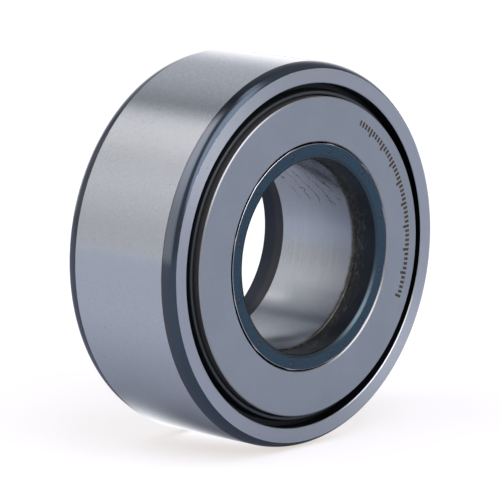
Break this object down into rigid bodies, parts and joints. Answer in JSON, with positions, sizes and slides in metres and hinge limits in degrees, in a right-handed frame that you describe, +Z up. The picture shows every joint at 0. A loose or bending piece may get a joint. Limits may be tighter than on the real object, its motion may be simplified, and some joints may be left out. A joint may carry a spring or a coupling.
{
  "type": "yoke type needle roller bearing",
  "caption": "Sealed needle roller bearing with a thick cylindrical outer ring that rolls on a track, caged needles, a staked inner ring and side washers on both faces.",
  "frame": {"origin": "centre of the roller, on its axis and halfway between the two side washer faces", "axes": "+Y along the roller's axis, from the front face at -Y to the rear face at +Y; +Z up; the lubrication hole is at -X"},
  "size_m": [0.08, 0.032, 0.08],
  "materials": {
    "bearing_steel": "ground satin, with dark oxide on the rounded edges",
    "blued_steel": "blue-black heat treated skin, ground bright in the bore",
    "washer_steel": "flat ground, satin",
    "seal_plastic": "black, slightly glossy",
    "cage_plastic": "dark glass filled plastic",
    "needle_steel": "superfinished"
  },
  "bodies": {
    "inner_ring_assembly": {"inner_ring": "blued_steel", "side_washer_front": "washer_steel", "side_washer_rear": "washer_steel"},
    "outer_ring_assembly": {"outer_ring": "bearing_steel", "seal_ring_front": "seal_plastic", "seal_ring_rear": "seal_plastic"},
    "cage": {"needle_cage": "cage_plastic"},
    "needle_01": {"needle_01": "needle_steel"},
    "needle_02": {"needle_02": "needle_steel"},
    "needle_03": {"needle_03": "needle_steel"},
    "needle_04": {"needle_04": "needle_steel"},
    "needle_05": {"needle_05": "needle_steel"},
    "needle_06": {"needle_06": "needle_steel"},
    "needle_07": {"needle_07": "needle_steel"},
    "needle_08": {"needle_08": "needle_steel"},
    "needle_09": {"needle_09": "needle_steel"},
    "needle_10": {"needle_10": "needle_steel"},
    "needle_11": {"needle_11": "needle_steel"},
    "needle_12": {"needle_12": "needle_steel"},
    "needle_13": {"needle_13": "needle_steel"},
    "needle_14": {"needle_14": "needle_steel"},
    "needle_15": {"needle_15": "needle_steel"},
    "needle_16": {"needle_16": "needle_steel"},
    "needle_17": {"needle_17": "needle_steel"},
    "needle_18": {"needle_18": "needle_steel"},
    "needle_19": {"needle_19": "needle_steel"},
    "needle_20": {"needle_20": "needle_steel"},
    "needle_21": {"needle_21": "needle_steel"},
    "needle_22": {"needle_22": "needle_steel"},
    "needle_23": {"needle_23": "needle_steel"},
    "needle_24": {"needle_24": "needle_steel"},
    "needle_25": {"needle_25": "needle_steel"},
    "needle_26": {"needle_26": "needle_steel"},
    "needle_27": {"needle_27": "needle_steel"},
    "needle_28": {"needle_28": "needle_steel"}
  },
  "joints": [
    {"name": "outer_ring_spin", "type": "hinge", "parent": "inner_ring_assembly", "child": "outer_ring_assembly", "pos_m": [0, 0, 0], "axis": [0, 1, 0], "continuous": true},
    {"name": "cage_spin", "type": "hinge", "parent": "inner_ring_assembly", "child": "cage", "pos_m": [0, 0, 0], "axis": [0, 1, 0], "continuous": true},
    {"name": "needle_01_spin", "type": "hinge", "parent": "cage", "child": "needle_01", "pos_m": [0.027, 0, 0], "axis": [0, 1, 0], "continuous": true},
    {"name": "needle_02_spin", "type": "hinge", "parent": "cage", "child": "needle_02", "pos_m": [0.02632, 0, 0.00601], "axis": [0, 1, 0], "continuous": true},
    {"name": "needle_03_spin", "type": "hinge", "parent": "cage", "child": "needle_03", "pos_m": [0.02433, 0, 0.01171], "axis": [0, 1, 0], "continuous": true},
    {"name": "needle_04_spin", "type": "hinge", "parent": "cage", "child": "needle_04", "pos_m": [0.02111, 0, 0.01683], "axis": [0, 1, 0], "continuous": true},
    {"name": "needle_05_spin", "type": "hinge", "parent": "cage", "child": "needle_05", "pos_m": [0.01683, 0, 0.02111], "axis": [0, 1, 0], "continuous": true},
    {"name": "needle_06_spin", "type": "hinge", "parent": "cage", "child": "needle_06", "pos_m": [0.01171, 0, 0.02433], "axis": [0, 1, 0], "continuous": true},
    {"name": "needle_07_spin", "type": "hinge", "parent": "cage", "child": "needle_07", "pos_m": [0.00601, 0, 0.02632], "axis": [0, 1, 0], "continuous": true},
    {"name": "needle_08_spin", "type": "hinge", "parent": "cage", "child": "needle_08", "pos_m": [0, 0, 0.027], "axis": [0, 1, 0], "continuous": true},
    {"name": "needle_09_spin", "type": "hinge", "parent": "cage", "child": "needle_09", "pos_m": [-0.00601, 0, 0.02632], "axis": [0, 1, 0], "continuous": true},
    {"name": "needle_10_spin", "type": "hinge", "parent": "cage", "child": "needle_10", "pos_m": [-0.01171, 0, 0.02433], "axis": [0, 1, 0], "continuous": true},
    {"name": "needle_11_spin", "type": "hinge", "parent": "cage", "child": "needle_11", "pos_m": [-0.01683, 0, 0.02111], "axis": [0, 1, 0], "continuous": true},
    {"name": "needle_12_spin", "type": "hinge", "parent": "cage", "child": "needle_12", "pos_m": [-0.02111, 0, 0.01683], "axis": [0, 1, 0], "continuous": true},
    {"name": "needle_13_spin", "type": "hinge", "parent": "cage", "child": "needle_13", "pos_m": [-0.02433, 0, 0.01171], "axis": [0, 1, 0], "continuous": true},
    {"name": "needle_14_spin", "type": "hinge", "parent": "cage", "child": "needle_14", "pos_m": [-0.02632, 0, 0.00601], "axis": [0, 1, 0], "continuous": true},
    {"name": "needle_15_spin", "type": "hinge", "parent": "cage", "child": "needle_15", "pos_m": [-0.027, 0, 0], "axis": [0, 1, 0], "continuous": true},
    {"name": "needle_16_spin", "type": "hinge", "parent": "cage", "child": "needle_16", "pos_m": [-0.02632, 0, -0.00601], "axis": [0, 1, 0], "continuous": true},
    {"name": "needle_17_spin", "type": "hinge", "parent": "cage", "child": "needle_17", "pos_m": [-0.02433, 0, -0.01171], "axis": [0, 1, 0], "continuous": true},
    {"name": "needle_18_spin", "type": "hinge", "parent": "cage", "child": "needle_18", "pos_m": [-0.02111, 0, -0.01683], "axis": [0, 1, 0], "continuous": true},
    {"name": "needle_19_spin", "type": "hinge", "parent": "cage", "child": "needle_19", "pos_m": [-0.01683, 0, -0.02111], "axis": [0, 1, 0], "continuous": true},
    {"name": "needle_20_spin", "type": "hinge", "parent": "cage", "child": "needle_20", "pos_m": [-0.01171, 0, -0.02433], "axis": [0, 1, 0], "continuous": true},
    {"name": "needle_21_spin", "type": "hinge", "parent": "cage", "child": "needle_21", "pos_m": [-0.00601, 0, -0.02632], "axis": [0, 1, 0], "continuous": true},
    {"name": "needle_22_spin", "type": "hinge", "parent": "cage", "child": "needle_22", "pos_m": [0, 0, -0.027], "axis": [0, 1, 0], "continuous": true},
    {"name": "needle_23_spin", "type": "hinge", "parent": "cage", "child": "needle_23", "pos_m": [0.00601, 0, -0.02632], "axis": [0, 1, 0], "continuous": true},
    {"name": "needle_24_spin", "type": "hinge", "parent": "cage", "child": "needle_24", "pos_m": [0.01171, 0, -0.02433], "axis": [0, 1, 0], "continuous": true},
    {"name": "needle_25_spin", "type": "hinge", "parent": "cage", "child": "needle_25", "pos_m": [0.01683, 0, -0.02111], "axis": [0, 1, 0], "continuous": true},
    {"name": "needle_26_spin", "type": "hinge", "parent": "cage", "child": "needle_26", "pos_m": [0.02111, 0, -0.01683], "axis": [0, 1, 0], "continuous": true},
    {"name": "needle_27_spin", "type": "hinge", "parent": "cage", "child": "needle_27", "pos_m": [0.02433, 0, -0.01171], "axis": [0, 1, 0], "continuous": true},
    {"name": "needle_28_spin", "type": "hinge", "parent": "cage", "child": "needle_28", "pos_m": [0.02632, 0, -0.00601], "axis": [0, 1, 0], "continuous": true}
  ],
  "couplings": [
    {"joint": "cage_spin", "follows": "outer_ring_spin", "ratio": 0.53704},
    {"joint": "needle_01_spin", "follows": "outer_ring_spin", "ratio": 6.713},
    {"joint": "needle_02_spin", "follows": "outer_ring_spin", "ratio": 6.713},
    {"joint": "needle_03_spin", "follows": "outer_ring_spin", "ratio": 6.713},
    {"joint": "needle_04_spin", "follows": "outer_ring_spin", "ratio": 6.713},
    {"joint": "needle_05_spin", "follows": "outer_ring_spin", "ratio": 6.713},
    {"joint": "needle_06_spin", "follows": "outer_ring_spin", "ratio": 6.713},
    {"joint": "needle_07_spin", "follows": "outer_ring_spin", "ratio": 6.713},
    {"joint": "needle_08_spin", "follows": "outer_ring_spin", "ratio": 6.713},
    {"joint": "needle_09_spin", "follows": "outer_ring_spin", "ratio": 6.713},
    {"joint": "needle_10_spin", "follows": "outer_ring_spin", "ratio": 6.713},
    {"joint": "needle_11_spin", "follows": "outer_ring_spin", "ratio": 6.713},
    {"joint": "needle_12_spin", "follows": "outer_ring_spin", "ratio": 6.713},
    {"joint": "needle_13_spin", "follows": "outer_ring_spin", "ratio": 6.713},
    {"joint": "needle_14_spin", "follows": "outer_ring_spin", "ratio": 6.713},
    {"joint": "needle_15_spin", "follows": "outer_ring_spin", "ratio": 6.713},
    {"joint": "needle_16_spin", "follows": "outer_ring_spin", "ratio": 6.713},
    {"joint": "needle_17_spin", "follows": "outer_ring_spin", "ratio": 6.713},
    {"joint": "needle_18_spin", "follows": "outer_ring_spin", "ratio": 6.713},
    {"joint": "needle_19_spin", "follows": "outer_ring_spin", "ratio": 6.713},
    {"joint": "needle_20_spin", "follows": "outer_ring_spin", "ratio": 6.713},
    {"joint": "needle_21_spin", "follows": "outer_ring_spin", "ratio": 6.713},
    {"joint": "needle_22_spin", "follows": "outer_ring_spin", "ratio": 6.713},
    {"joint": "needle_23_spin", "follows": "outer_ring_spin", "ratio": 6.713},
    {"joint": "needle_24_spin", "follows": "outer_ring_spin", "ratio": 6.713},
    {"joint": "needle_25_spin", "follows": "outer_ring_spin", "ratio": 6.713},
    {"joint": "needle_26_spin", "follows": "outer_ring_spin", "ratio": 6.713},
    {"joint": "needle_27_spin", "follows": "outer_ring_spin", "ratio": 6.713},
    {"joint": "needle_28_spin", "follows": "outer_ring_spin", "ratio": 6.713}
  ]
}
